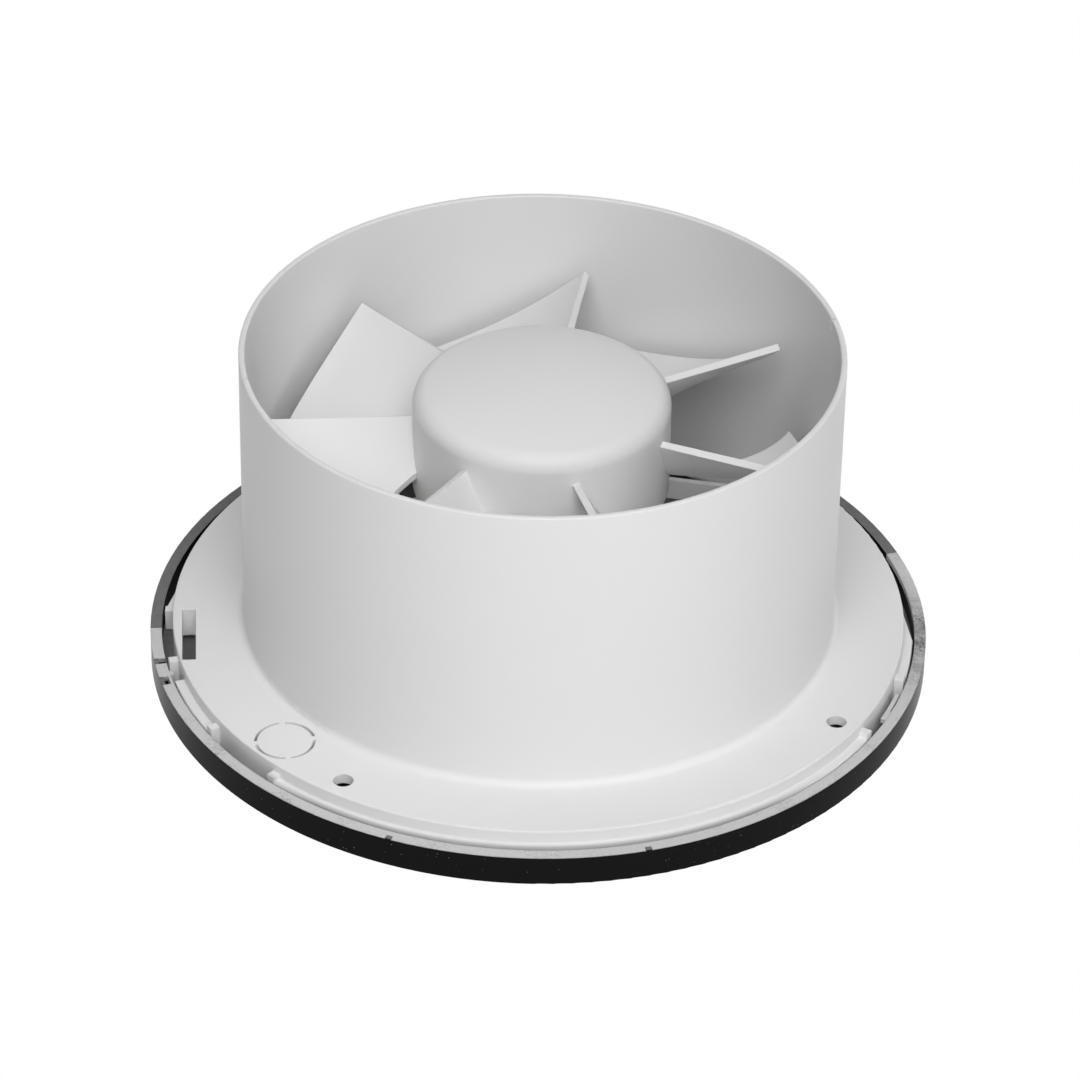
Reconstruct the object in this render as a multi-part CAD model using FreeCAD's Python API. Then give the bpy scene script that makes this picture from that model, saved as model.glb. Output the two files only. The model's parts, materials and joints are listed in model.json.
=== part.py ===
import FreeCAD, Part
import math
import os

V = FreeCAD.Vector
UP = V(0, 0, 1)
ORIGIN = V(0, 0, 0)

# An axial bathroom exhaust fan for a 150 mm duct, lying on its front cover.
# Millimetres and degrees. Z runs up the duct from the cover's face to the spigot's rim.

# Spigot and flange
SPIGOT_R = 74.0           # outside of the spigot, a slide fit in a 150 mm duct
SPIGOT_WALL = 1.5
TOTAL_DEPTH = 88.8        # cover's face to spigot's rim
RIM_EDGE = 0.5            # rounding of the rim's two edges
ROOT_FILLET = 2.0         # between spigot and flange
INLET_LIP = 3.0           # rounded edge where the air enters
FLANGE_BACK = 11.5        # height of the face that lies on the wall
FLANGE_W = 17.9           # how far the flange stands out from the spigot
FLANGE_T = 2.1
FLANGE_EDGE = 0.5
LEDGE_W = 2.3             # step round the flange, level with the cover's rim
LEDGE_DROP = 3.5
SKIRT_T = 1.6             # wall under the flange and its step
SKIRT_GAP = 0.3           # skirt's foot above the cover's inside

# Wall fixing and cable entry
SCREW_HOLE_R = 2.45
PAD_R = 4.4
PAD_T = 0.6               # the flange is thicker at the screw holes
SCREW_OUT = 12.5          # screw circle outside the spigot
SCREW_COUNT = 4
SCREW_TURN = -32.2
KNOCKOUT_R = 7.1
KNOCKOUT_SLIT = 0.7
KNOCKOUT_OUT = 9.8        # its centre outside the spigot
KNOCKOUT_ANGLE = -136.6
BRIDGE_W = 1.5            # tabs that hold the knock-out disc
BRIDGE_TURN = 9.5
BRIDGE_COUNT = 4

# Latch pockets, slot and marks of the moulding
POCKET_ANGLES = (-140.3, -22.7)
POCKET_HALF = 6.9         # half angle of a pocket
RIB_W = 2.2               # walls at a pocket's ends
RIB_RISE = 1.4            # they stand above the ledge
BAY_START = -180.45       # open bay beside the snap tongue
BAY_END = -162.0
BAY_RIB_ANGLE = -166.4
SLOT_ANGLE = -170.8       # slot that frees the flange's edge at the bay
SLOT_IN = 3.7             # its centre line inside the flange's edge
SLOT_NORMAL = -176.1
SLOT_W = 3.4
SLOT_L = 21.5
SLOT_WALL = 1.4
SLOT_DEEP = 8.0           # length of its walls
STEP_ENDS = (7.0, 170.5)  # the flange's step is missing from the first angle on to the second
RUNOUT_STARTS = (-4.0, 179.5)  # angles where its two ends start to run out
NOTCH_ANGLES = (12.5, 192.5)
NOTCH_W = 0.9             # grooves in the rim for a shutter's pivots
NOTCH_DEEP = 0.8
NOTCH_L = 3.6

# Front cover
COVER_GAP = 0.5           # between the flange's step and the cover's rim
RIM_W = 2.85
RIM_H = 8.0
PANEL_T = 2.0
FACE_EDGE = 0.3           # rounding round the cover's face
SHELL_T = 0.9             # wall outside the clip ring
LIP_T = 0.3               # room for the clip ring's lip over that wall
GRILLE_HUB_R = 24.0
GRILLE_SLOT_W = 5.0
GRILLE_BAR_W = 3.0
GRILLE_MARGIN = 8.0       # plain band inside the duct's wall
SPOKE_COUNT = 6
SPOKE_W = 4.0
SPOKE_RIB_W = 1.6
SPOKE_RIB_H = 1.6
PIP_ANGLES = (-110.9, -73.8)
PIP_W = 1.4               # pips that key the clip ring
PIP_IN = 0.3
PIP_SHY = 0.05            # a pip's end behind the cover's outside
KEY_ANGLES = (-167.85, -163.1)
KEY_W = 1.3               # keys of the cover beside the clip ring's tongue
KEY_PLAY = 0.3
KEY_DROP = 0.4

# Clip ring
CLIP_START = -176.1
CLIP_END = 19.6
CLIP_DEEP = 1.6           # the ring lies on the cover's rim
CLIP_FIT = 0.1            # clip ring in its rebate
TONGUE_SLIT = (-168.3, -166.8)
TONGUE_HOLE = (-163.6, -161.5)
TONGUE_STRIP = 0.7        # thin spring strip that carries the tongue
TONGUE_WEB = 0.5          # web left at the foot of the slit
NOSE_ANGLE = -164.2
NOSE_W = 1.6
NOSE_IN = 0.9
CATCH = (-22.8, -18.0)    # catch finger in the right-hand pocket
CATCH_ROOT = -25.0
CATCH_T = 1.1
CATCH_GAP = 0.4           # finger to rim
CATCH_DROP = 0.2

# Motor: lamination frame, local X towards the coil
MOTOR_ANGLE = KNOCKOUT_ANGLE
STACK_Z = 16.0
STACK_T = 14.0
STACK_HALF_Y = 24.0
STACK_CORNER = 4.0
LIMB_X = 26.5             # inner face of the limb that carries the coil
LIMB_W = 8.0
POLE_HALF_X = 15.2        # half width of the pole block round the rotor
WINDOW_HALF_Y = 15.0
ROTOR_R = 12.0
AIR_GAP = 0.3
MOTOR_SCREW_Y = 19.5
SCREW_R = 1.45
SCREW_PLAY = 0.15
SCREW_HEAD_R = 2.8
SCREW_HEAD_H = 2.0
DRIVER_SLOT = 0.8         # slot in a screw's head
PILOT_PLAY = 0.05         # screw in its pilot hole
SHADE_WIRE = 1.8
SHADE_IN = 4.0            # inner leg of a shading loop from the pole's middle
SHADE_Y = 13.8
SHADE_PLAY = 0.1

# Coil
BOBBIN_PLAY = 0.15
BOBBIN_WALL = 1.0
BOBBIN_FLANGE = 1.2
COIL_DEPTH = 4.8
COIL_ROUND = 3.0
BOBBIN_END_GAP = 0.4

# Bearing bridges
POST_H = 6.0
POST_R = 4.0
BRIDGE_T = 3.0
BRIDGE_HALF_W = 5.5
BOSS_R = 7.6
BOSS_RISE = 2.4           # boss beyond the bridge's outer face
SHAFT_R = 2.0
SHAFT_PLAY = 0.03         # running fit in the bushes
SHAFT_HOLE_PLAY = 0.5     # shaft through the bridge's end wall
BUSH_R = 5.2
BUSH_L = 6.0
BUSH_FIT = 0.02
FELT_T = 1.4
RETAINER_T = 0.6
RETAINER_HOLE_R = 3.4
RETAINER_FIT = 0.05

# Rotor
CAGE_RING_H = 3.0
CAGE_RING_R = 11.2
CAGE_RING_HOLE_R = 6.5
CAGE_BARS = 13
CAGE_BAR_R = 1.1
CAGE_BAR_CIRCLE = 9.6
COLLAR_R = 4.2
COLLAR_GAP = 0.3          # collar to bush

# Motor seat and its arms
SEAT_R = 26.0
SEAT_T = 2.5
SEAT_HOLE_PLAY = 0.6
SEAT_BOSS_R = 3.4
SEAT_BOSS_H = 4.0
ARM_COUNT = 3
ARM_TURN = 180.0          # first arm opposite the coil
ARM_W = 2.6
ARM_H = 5.5
ARM_FOOT_Z = 15.2         # top of an arm at the spigot's wall
ARM_INTO = 0.8            # overlap into seat and wall

# Impeller
TIP_GAP = 4.6
HUB_R = 31.75
HUB_WALL = 1.8
HUB_LIFT = 8.8            # open edge of the hub above the motor seat
HUB_H = 31.1
HUB_SHOULDER = 5.0
HUB_DOME_R = 100.0
BLADE_COUNT = 7
BLADE_TURN = 29.9
BLADE_TOP = 19.6          # upper edge above the hub's open edge
BLADE_T = 1.8
ROOT_SPAN = 12.5          # angle that a blade takes at the hub
TIP_SPAN = 45.0
ROOT_DROP = 12.0          # height that a blade takes at the hub
TIP_DROP = 21.6
ROOT_BEND = 1.4           # 1 is flat, more bends the upper edge up
TIP_BEND = 2.4
BOSS_OUT_R = 6.0
BOSS_LIFT = 6.0           # boss's end above the hub's open edge
BOSS_SLIT_W = 1.2
BOSS_SLIT_L = 7.0
BORE_PLAY = 0.01
SHAFT_GRIP = 18.5         # length of shaft in the boss
HUB_RIB_T = 1.4
HUB_RIB_LIFT = 19.0       # ribs' lower edge above the hub's open edge
CLIP_WIRE = 1.2
CLIP_H = 3.0
CLIP_MOUTH = 50.0
CLIP_PLAY = 0.05

# Wiring compartment, local X away from the duct's axis
BOX_DEEP = 17.3           # from its inner wall to the spigot's wall
BOX_HALF_Y = 17.0
BOX_WALL = 1.5
BOX_H = 14.6              # inside, below its floor
LEAD_NOTCH_HALF = 6.0
LEAD_NOTCH_H = 11.8
BLOCK_X = 0.6             # terminal block from the inner wall
BLOCK_L = 9.0
BLOCK_HALF_Y = 8.3
BLOCK_H = 13.0
BLOCK_GROOVE = 1.2
POLE_Y = 4.1
POLE_Z = 4.5              # wire tunnels below the floor
TUNNEL_R = 2.0
CLAMP_FIT = 0.05
CLAMP_BORE_R = 1.25
TERMINAL_SCREW_R = 1.4
TERMINAL_SCREW_SINK = 1.2
TERMINAL_SCREW_X = (2.2, 6.8)
HOLD_RIB_W = 1.2
HOLD_RIB_H = 5.0
HOLD_FIT = 0.1
SADDLE_X = 3.6            # cable clamp from the spigot's wall
SADDLE_W = 4.4
SADDLE_HALF_Y = 12.2
SADDLE_T = 2.5
SADDLE_CORNER = 1.5
SADDLE_SCREW_Y = 9.5
SADDLE_BOSS_R = 2.6
SADDLE_BOSS_H = 6.5
SADDLE_ARCH_R = 4.0
LID_T = 2.0
LID_FIT = 0.3
LID_NOTCH_HALF = 5.0
LID_NOTCH_DEEP = 6.0
LID_SCREW_X = 5.3
LID_SCREW_Y = -12.2
LID_BOSS_R = 2.7
SMALL_SCREW_R = 1.2
SMALL_HEAD_R = 2.5
SMALL_HEAD_H = 1.7
SMALL_TIP_GAP = 1.5       # blind end of the pilot holes
LEAD_R = 0.9
LEAD_INTO = 2.0           # bared end held in the terminal clamp

# Sizes that follow
INNER_R = SPIGOT_R - SPIGOT_WALL
FLANGE_R = SPIGOT_R + FLANGE_W
FLANGE_UNDER = FLANGE_BACK - FLANGE_T
LEDGE_R = FLANGE_R + LEDGE_W
LEDGE_Z = FLANGE_BACK - LEDGE_DROP
SKIRT_FOOT = PANEL_T + SKIRT_GAP
COVER_IN = LEDGE_R + COVER_GAP
COVER_R = COVER_IN + RIM_W
STACK_TOP = STACK_Z + STACK_T
SEAT_Z = STACK_TOP + POST_H + BRIDGE_T
SEAT_TOP = SEAT_Z + SEAT_T
HUB_Z = SEAT_TOP + HUB_LIFT
HUB_CROWN = HUB_Z + HUB_H
TIP_R = INNER_R - TIP_GAP
REAR_Z = STACK_Z - POST_H - BRIDGE_T
SHAFT_END = HUB_Z + BOSS_LIFT + SHAFT_GRIP
BUSH_GAP = POST_H + BRIDGE_T + BOSS_RISE - FELT_T - BUSH_L
BOX_X = INNER_R - BOX_DEEP
BOX_FLOOR = FLANGE_UNDER + BOX_H
BLOCK_START = BOX_X + BOX_WALL + BLOCK_X
POLE_HEIGHT = BOX_FLOOR - POLE_Z
COIL_OUT_X = LIMB_X + LIMB_W + BOBBIN_PLAY + BOBBIN_WALL + COIL_DEPTH


# Basic forms

def polar(radius, angle, z=0.0):
    """Point at a radius and an angle round the duct's axis."""
    turn = math.radians(angle)
    return V(radius * math.cos(turn), radius * math.sin(turn), z)


def turned(shape, angle):
    """Copy of a shape, turned round the duct's axis."""
    copy = shape.copy()
    copy.rotate(ORIGIN, UP, angle)
    return copy


def outline(corners, upright=True):
    """Closed face through (across, along, radius) corners, each rounded by its radius."""
    points = [V(a, 0, b) if upright else V(a, b, 0) for a, b, _ in corners]
    bends = []
    for i, (point, corner) in enumerate(zip(points, corners)):
        if not corner[2]:
            bends.append((point, None, point))
            continue
        before = (points[i - 1] - point).normalize()
        after = (points[(i + 1) % len(points)] - point).normalize()
        half = before.getAngle(after) / 2
        reach = corner[2] / math.tan(half)
        inward = (before + after).normalize()
        middle = point + inward * (corner[2] / math.sin(half) - corner[2])
        bends.append((point + before * reach, middle, point + after * reach))
    edges = []
    for i, (start, middle, end) in enumerate(bends):
        following = bends[(i + 1) % len(bends)][0]
        if middle:
            edges.append(Part.Arc(start, middle, end).toShape())
        if end.distanceToPoint(following) > 1e-6:
            edges.append(Part.makeLine(end, following))
    return Part.Face(Part.Wire(edges))


def spun(corners):
    """Solid of revolution round the duct's axis from (radius, z, rounding) corners."""
    return outline(corners).revolve(ORIGIN, UP, 360)


def slab(x0, x1, half_y, rounding, low, high):
    """Flat plate with four rounded corners, even about local X."""
    corners = [(x0, -half_y), (x1, -half_y), (x1, half_y), (x0, half_y)]
    face = outline([(x, y, rounding) for x, y in corners], upright=False)
    face.translate(V(0, 0, low))
    return face.extrude(V(0, 0, high - low))


def block(x0, x1, y0, y1, z0, z1):
    """Box between three pairs of limits."""
    return Part.makeBox(x1 - x0, y1 - y0, z1 - z0, V(x0, y0, z0))


def rod(radius, low, high, x=0.0, y=0.0):
    """Upright cylinder."""
    return Part.makeCylinder(radius, high - low, V(x, y, low))


def ring(inner, outer, low, high):
    """Upright tube round the duct's axis."""
    return rod(outer, low, high).cut(rod(inner, low, high))


def sector(inner, outer, start, end, low, high):
    """Piece of a tube between two angles."""
    middle = (start + end) / 2
    outer_arc = Part.Arc(polar(outer, start), polar(outer, middle), polar(outer, end))
    inner_arc = Part.Arc(polar(inner, end), polar(inner, middle), polar(inner, start))
    edges = [
        outer_arc.toShape(),
        Part.makeLine(polar(outer, end), polar(inner, end)),
        inner_arc.toShape(),
        Part.makeLine(polar(inner, start), polar(outer, start)),
    ]
    face = Part.Face(Part.Wire(edges))
    face.translate(V(0, 0, low))
    return face.extrude(V(0, 0, high - low))


def radial_wall(angle, inner, outer, width, low, high):
    """Straight wall that points away from the axis."""
    return turned(block(inner, outer, -width / 2, width / 2, low, high), angle)


def joined(shapes):
    """One clean solid out of overlapping ones."""
    return shapes[0].multiFuse(shapes[1:]).removeSplitter()


def save(name, *shapes):
    """Write one node, as a single solid or a group of separate ones."""
    shape = shapes[0] if len(shapes) == 1 else Part.makeCompound(list(shapes))
    shape.exportStep("parts/" + name + ".step")


# Housing

def spigot_and_flange():
    """Spigot, flange, step and skirt as one moulded wall."""
    return spun([
        (SPIGOT_R, TOTAL_DEPTH, RIM_EDGE),
        (SPIGOT_R, FLANGE_BACK, ROOT_FILLET),
        (FLANGE_R, FLANGE_BACK, FLANGE_EDGE),
        (FLANGE_R, LEDGE_Z, 0),
        (LEDGE_R, LEDGE_Z, FLANGE_EDGE),
        (LEDGE_R, SKIRT_FOOT, 0),
        (LEDGE_R - SKIRT_T, SKIRT_FOOT, 0),
        (LEDGE_R - SKIRT_T, LEDGE_Z - SKIRT_T, 0),
        (FLANGE_R - SKIRT_T, LEDGE_Z - SKIRT_T, 0),
        (FLANGE_R - SKIRT_T, FLANGE_UNDER, 0),
        (INNER_R, FLANGE_UNDER, INLET_LIP),
        (INNER_R, TOTAL_DEPTH, RIM_EDGE),
    ])


def rim_step(start, end):
    """Cut that takes the step away between two angles."""
    return sector(FLANGE_R, LEDGE_R + COVER_GAP, start, end, 0, FLANGE_UNDER)


def back_wall(start, end):
    """Wall under the flange's edge where the step is cut away."""
    return sector(FLANGE_R - SKIRT_T, FLANGE_R, start, end, SKIRT_FOOT, FLANGE_UNDER)


def end_rib(angle, rise):
    """Rib from the back wall out to the step's edge."""
    return radial_wall(angle, FLANGE_R - SKIRT_T, LEDGE_R, RIB_W, SKIRT_FOOT, LEDGE_Z + rise)


def runout_filler(start, end):
    """Solid end of the step."""
    return sector(FLANGE_R - SKIRT_T, LEDGE_R, start - 1, end + 1, SKIRT_FOOT, LEDGE_Z)


def runout_cut(full, gone):
    """Straight slanting cut between the angles where the step is full and where it is gone."""
    far = 2 * LEDGE_R
    corners = [polar(LEDGE_R, full), polar(FLANGE_R, gone), polar(far, gone), polar(far, full)]
    face = Part.Face(Part.makePolygon(corners + corners[:1]))
    return face.extrude(V(0, 0, FLANGE_UNDER))


def latch_slot(margin):
    """Upright prism of the latch slot, grown by a margin."""
    half_w = SLOT_W / 2 + margin
    half_l = SLOT_L / 2 + margin
    prism = block(-half_w, half_w, -half_l, half_l, FLANGE_BACK - SLOT_DEEP, FLANGE_BACK + 1)
    prism.rotate(ORIGIN, UP, SLOT_NORMAL)
    prism.translate(polar(FLANGE_R - SLOT_IN, SLOT_ANGLE))
    return prism


def with_latches(body):
    """Pockets, their end ribs, the open bay, the step's ends and the slot."""
    half_rib = math.degrees(RIB_W / 2 / LEDGE_R)
    pockets = [(a - POCKET_HALF, a + POCKET_HALF) for a in POCKET_ANGLES]
    gaps = pockets + [(BAY_START, BAY_END), STEP_ENDS]
    for full, gone in zip(RUNOUT_STARTS, STEP_ENDS):
        body = joined([body, runout_filler(*sorted((full, gone)))]).cut(runout_cut(full, gone))
    body = body.cut(Part.makeCompound([rim_step(*gap) for gap in gaps]))
    inside = rod(FLANGE_R, SKIRT_FOOT, FLANGE_UNDER)
    added = [end_rib(BAY_RIB_ANGLE, RIB_RISE), latch_slot(SLOT_WALL).common(inside)]
    added += [back_wall(start - 1, end + 1) for start, end in gaps]
    for start, end in pockets:
        added += [end_rib(start - half_rib, RIB_RISE), end_rib(end + half_rib, RIB_RISE)]
    added += [end_rib(BAY_START - half_rib, 0), end_rib(BAY_END + half_rib, 0)]
    for piece in added:
        body = joined([body, piece])
    return body.cut(latch_slot(0))


def knockout_slits():
    """Ring of short slits round the cable entry's disc."""
    low = FLANGE_UNDER - 1
    high = FLANGE_BACK + 1
    slits = ring(KNOCKOUT_R - KNOCKOUT_SLIT / 2, KNOCKOUT_R + KNOCKOUT_SLIT / 2, low, high)
    for i in range(BRIDGE_COUNT):
        turn = BRIDGE_TURN + i * 360 / BRIDGE_COUNT
        slits = slits.cut(radial_wall(turn, 0, 2 * KNOCKOUT_R, BRIDGE_W, low, high))
    slits.translate(polar(SPIGOT_R + KNOCKOUT_OUT, KNOCKOUT_ANGLE))
    return slits


def at_wall_screws(radius, low, high):
    """Upright cylinders on the wall screws' axes."""
    cylinders = []
    for i in range(SCREW_COUNT):
        centre = polar(SPIGOT_R + SCREW_OUT, SCREW_TURN + i * 360 / SCREW_COUNT)
        cylinders.append(rod(radius, low, high, centre.x, centre.y))
    return cylinders


def screw_pads():
    """Thicker places under the flange at its screw holes."""
    return at_wall_screws(PAD_R, FLANGE_UNDER - PAD_T, FLANGE_BACK - PAD_T)


def flange_holes():
    """Wall screw holes."""
    return Part.makeCompound(at_wall_screws(SCREW_HOLE_R, SKIRT_FOOT, FLANGE_BACK + 1))


def rim_notches():
    """Two short grooves inside the rim."""
    low = TOTAL_DEPTH - NOTCH_L
    high = TOTAL_DEPTH + 1
    return Part.makeCompound([
        radial_wall(a, INNER_R - 1, INNER_R + NOTCH_DEEP, NOTCH_W, low, high) for a in NOTCH_ANGLES
    ])


def motor_seat():
    """Plate that carries the motor, with its arms down to the spigot's wall."""
    pieces = [rod(SEAT_R, SEAT_Z, SEAT_TOP)]
    for side in (-1, 1):
        pieces.append(rod(SEAT_BOSS_R, SEAT_Z, SEAT_TOP + SEAT_BOSS_H, 0, side * MOTOR_SCREW_Y))
    start = SEAT_R - ARM_INTO
    end = INNER_R + ARM_INTO
    arm = outline([
        (start, SEAT_TOP, 0),
        (end, ARM_FOOT_Z, 0),
        (end, ARM_FOOT_Z - ARM_H, 0),
        (start, SEAT_TOP - ARM_H, 0),
    ])
    arm.translate(V(0, -ARM_W / 2, 0))
    arm = arm.extrude(V(0, ARM_W, 0))
    pieces += [turned(arm, ARM_TURN + i * 360 / ARM_COUNT) for i in range(ARM_COUNT)]
    seat = joined(pieces).cut(rod(BOSS_R + SEAT_HOLE_PLAY, SEAT_Z - ARM_H, SEAT_TOP + 1))
    pilots = screw_holes(SCREW_R + PILOT_PLAY, SEAT_Z - 1, SEAT_TOP + SEAT_BOSS_H + 1)
    return turned(seat.cut(pilots), MOTOR_ANGLE)


def wiring_box():
    """Open-fronted compartment against the spigot's wall, with its bosses."""
    reach = SPIGOT_R
    walls = block(BOX_X, reach, -BOX_HALF_Y, BOX_HALF_Y, FLANGE_UNDER, BOX_FLOOR + BOX_WALL)
    inside_y = BOX_HALF_Y - BOX_WALL
    room = block(BOX_X + BOX_WALL, reach, -inside_y, inside_y, FLANGE_UNDER - 1, BOX_FLOOR)
    notch = block(BOX_X - 1, BOX_X + BOX_WALL + 1, -LEAD_NOTCH_HALF, LEAD_NOTCH_HALF,
                  FLANGE_UNDER - 1, FLANGE_UNDER + LEAD_NOTCH_H)
    box = walls.cut(room).cut(notch)
    saddle_x = INNER_R - SADDLE_X
    pieces = [box]
    for side in (-1, 1):
        pieces.append(rod(SADDLE_BOSS_R, BOX_FLOOR - SADDLE_BOSS_H, BOX_FLOOR + BOX_WALL / 2,
                          saddle_x, side * SADDLE_SCREW_Y))
        near = side * (BLOCK_HALF_Y + HOLD_FIT)
        far = near + side * HOLD_RIB_W
        pieces.append(block(BLOCK_START, BLOCK_START + BLOCK_L - HOLD_RIB_W, min(near, far), max(near, far),
                            BOX_FLOOR - HOLD_RIB_H, BOX_FLOOR + BOX_WALL / 2))
    lid_x = BOX_X + LID_SCREW_X
    pieces.append(rod(LID_BOSS_R, FLANGE_UNDER, BOX_FLOOR + BOX_WALL / 2, lid_x, LID_SCREW_Y))
    pilot = SMALL_SCREW_R + PILOT_PLAY
    box = joined(pieces)
    for side in (-1, 1):
        box = box.cut(rod(pilot, FLANGE_UNDER, BOX_FLOOR, saddle_x, side * SADDLE_SCREW_Y))
    box = box.cut(rod(pilot, FLANGE_UNDER - 1, BOX_FLOOR, lid_x, LID_SCREW_Y))
    inside_wall = rod(INNER_R + SPIGOT_WALL / 2, FLANGE_UNDER, TOTAL_DEPTH)
    return turned(box.common(inside_wall), KNOCKOUT_ANGLE)


def housing():
    """The white moulding that everything else is fixed to."""
    body = joined([with_latches(spigot_and_flange())] + screw_pads())
    body = body.cut(Part.makeCompound([knockout_slits(), flange_holes(), rim_notches()]))
    return joined([body, motor_seat(), wiring_box()])


# Front cover

def clip_rebate(fit, edge):
    """Space of the clip ring and its lip in the cover's rim, smaller by a fit, out to an edge."""
    slack = math.degrees(fit / COVER_R)
    span = (CLIP_START + slack, CLIP_END - slack)
    channel = sector(COVER_IN, COVER_R - SHELL_T - fit, *span, RIM_H - CLIP_DEEP, RIM_H)
    lip = sector(COVER_IN, edge, *span, RIM_H - LIP_T + fit, RIM_H)
    return joined([channel, lip])


def pips(grow, edge):
    """Pips on the cover's wall that key the clip ring, out to an edge."""
    width = PIP_W + 2 * grow
    start = COVER_R - SHELL_T - PIP_IN - grow
    return [radial_wall(a, start, edge, width, PANEL_T, RIM_H) for a in PIP_ANGLES]


def tongue_keys():
    """Keys on the cover that stand in the clip ring's slit and hole."""
    inside = COVER_IN + TONGUE_STRIP + KEY_PLAY
    outside = COVER_R - SHELL_T / 2
    top = RIM_H - KEY_DROP
    posts = [radial_wall(a, inside, outside, KEY_W, PANEL_T, top) for a in KEY_ANGLES]
    web_top = RIM_H - CLIP_DEEP + TONGUE_WEB
    head = radial_wall(KEY_ANGLES[0], COVER_IN, outside, KEY_W, web_top + KEY_PLAY, top)
    return posts + [head]


def front_cover():
    """Black shell: flat face with ring slots, spokes behind them, and a low rim."""
    shell = spun([
        (0, 0, 0),
        (COVER_R, 0, FACE_EDGE),
        (COVER_R, RIM_H, 0),
        (COVER_IN, RIM_H, 0),
        (COVER_IN, PANEL_T, 0),
        (0, PANEL_T, 0),
    ])
    shell = shell.cut(clip_rebate(0, COVER_R + 1))
    shell = joined([shell] + pips(0, COVER_R - PIP_SHY) + tongue_keys())
    pitch = GRILLE_SLOT_W + GRILLE_BAR_W
    count = int((INNER_R - GRILLE_MARGIN - GRILLE_HUB_R) / pitch)
    spokes = [
        radial_wall(i * 360 / SPOKE_COUNT, 0, COVER_IN, SPOKE_W, -1, PANEL_T + 1) for i in range(SPOKE_COUNT)
    ]
    slots = []
    for i in range(count):
        start = GRILLE_HUB_R + i * pitch
        slots.append(ring(start, start + GRILLE_SLOT_W, -1, PANEL_T + 1))
    shell = shell.cut(Part.makeCompound(slots).cut(Part.makeCompound(spokes)))
    ribs = [
        radial_wall(i * 360 / SPOKE_COUNT, GRILLE_HUB_R - GRILLE_BAR_W, INNER_R, SPOKE_RIB_W,
                    PANEL_T / 2, PANEL_T + SPOKE_RIB_H) for i in range(SPOKE_COUNT)
    ]
    return joined([shell] + ribs)


def clip_ring():
    """White ring in the cover's rim, with its snap tongue and catch finger."""
    body = clip_rebate(CLIP_FIT, COVER_R)
    outside = COVER_R + 1
    top = RIM_H + 1
    holes = [sector(COVER_IN + TONGUE_STRIP, outside, *span, 0, top) for span in (TONGUE_SLIT, TONGUE_HOLE)]
    slit = sector(COVER_IN - 1, outside, *TONGUE_SLIT, RIM_H - CLIP_DEEP + TONGUE_WEB, top)
    body = body.cut(slit).cut(Part.makeCompound(holes + pips(CLIP_FIT, outside)))
    nose = radial_wall(NOSE_ANGLE, COVER_IN - NOSE_IN, COVER_IN + CATCH_GAP, NOSE_W, RIM_H - CLIP_DEEP, RIM_H)
    finger_out = COVER_IN - CATCH_GAP
    top = RIM_H - CATCH_DROP
    finger = sector(finger_out - CATCH_T, finger_out, *CATCH, PANEL_T + SKIRT_GAP, top)
    root = sector(finger_out - CATCH_T, COVER_IN + CATCH_GAP, CATCH_ROOT, CATCH[0], RIM_H - CLIP_DEEP, top)
    return joined([body, nose, finger, root])


# Impeller

def domed(radius, shoulder, dome_r, base, crown):
    """Solid drum whose top is a shallow dome with a rounded shoulder."""
    centre_r = radius - shoulder
    dome_z = crown - dome_r
    centre_z = dome_z + math.sqrt((dome_r - shoulder) ** 2 - centre_r ** 2)
    tilt = math.asin(centre_r / (dome_r - shoulder))
    lean = (math.pi / 2 - tilt) / 2
    meet = V(dome_r * math.sin(tilt), 0, dome_z + dome_r * math.cos(tilt))
    bend = V(centre_r + shoulder * math.cos(lean), 0, centre_z + shoulder * math.sin(lean))
    rise = V(dome_r * math.sin(tilt / 2), 0, dome_z + dome_r * math.cos(tilt / 2))
    corner = V(radius, 0, centre_z)
    top = V(0, 0, crown)
    edges = [
        Part.makeLine(V(0, 0, base), V(radius, 0, base)),
        Part.makeLine(V(radius, 0, base), corner),
        Part.Arc(corner, bend, meet).toShape(),
        Part.Arc(meet, rise, top).toShape(),
        Part.makeLine(top, V(0, 0, base)),
    ]
    return Part.Face(Part.Wire(edges)).revolve(ORIGIN, UP, 360)


def blade_point(radius, along, depth):
    """Point of a blade: along runs from upper to lower edge, depth goes in from the upper side."""
    share = (radius - HUB_R) / (TIP_R - HUB_R)
    arc = radius * math.radians(ROOT_SPAN + share * (TIP_SPAN - ROOT_SPAN))
    drop = ROOT_DROP + share * (TIP_DROP - ROOT_DROP)
    bend = ROOT_BEND + share * (TIP_BEND - ROOT_BEND)
    fall = drop * bend * (1 - along) ** (bend - 1)
    length = math.hypot(arc, fall)
    sideways = arc * along - depth * fall / length
    height = -drop * (1 - (1 - along) ** bend) - depth * arc / length
    return polar(radius, math.degrees(sideways / radius), HUB_Z + BLADE_TOP + height)


def blade():
    """One twisted blade, closed from its upper and lower surfaces."""
    radii = [HUB_R - HUB_WALL / 2 + i / 5 * (TIP_R - HUB_R + HUB_WALL / 2) for i in range(6)]
    steps = [i / 8 for i in range(9)]
    sides = []
    for depth in (0, BLADE_T):
        surface = Part.BSplineSurface()
        surface.interpolate([[blade_point(r, s, depth) for s in steps] for r in radii])
        sides.append(surface.toShape())
    faces = list(sides)
    for upper in sides[0].Edges:
        lower = min(sides[1].Edges, key=lambda e: e.CenterOfMass.distanceToPoint(upper.CenterOfMass))
        faces.append(Part.makeRuledSurface(upper, lower))
    shell = Part.makeShell(faces)
    shell.sewShape()
    solid = Part.makeSolid(shell)
    if solid.Volume < 0:
        solid.reverse()
    return solid


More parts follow.
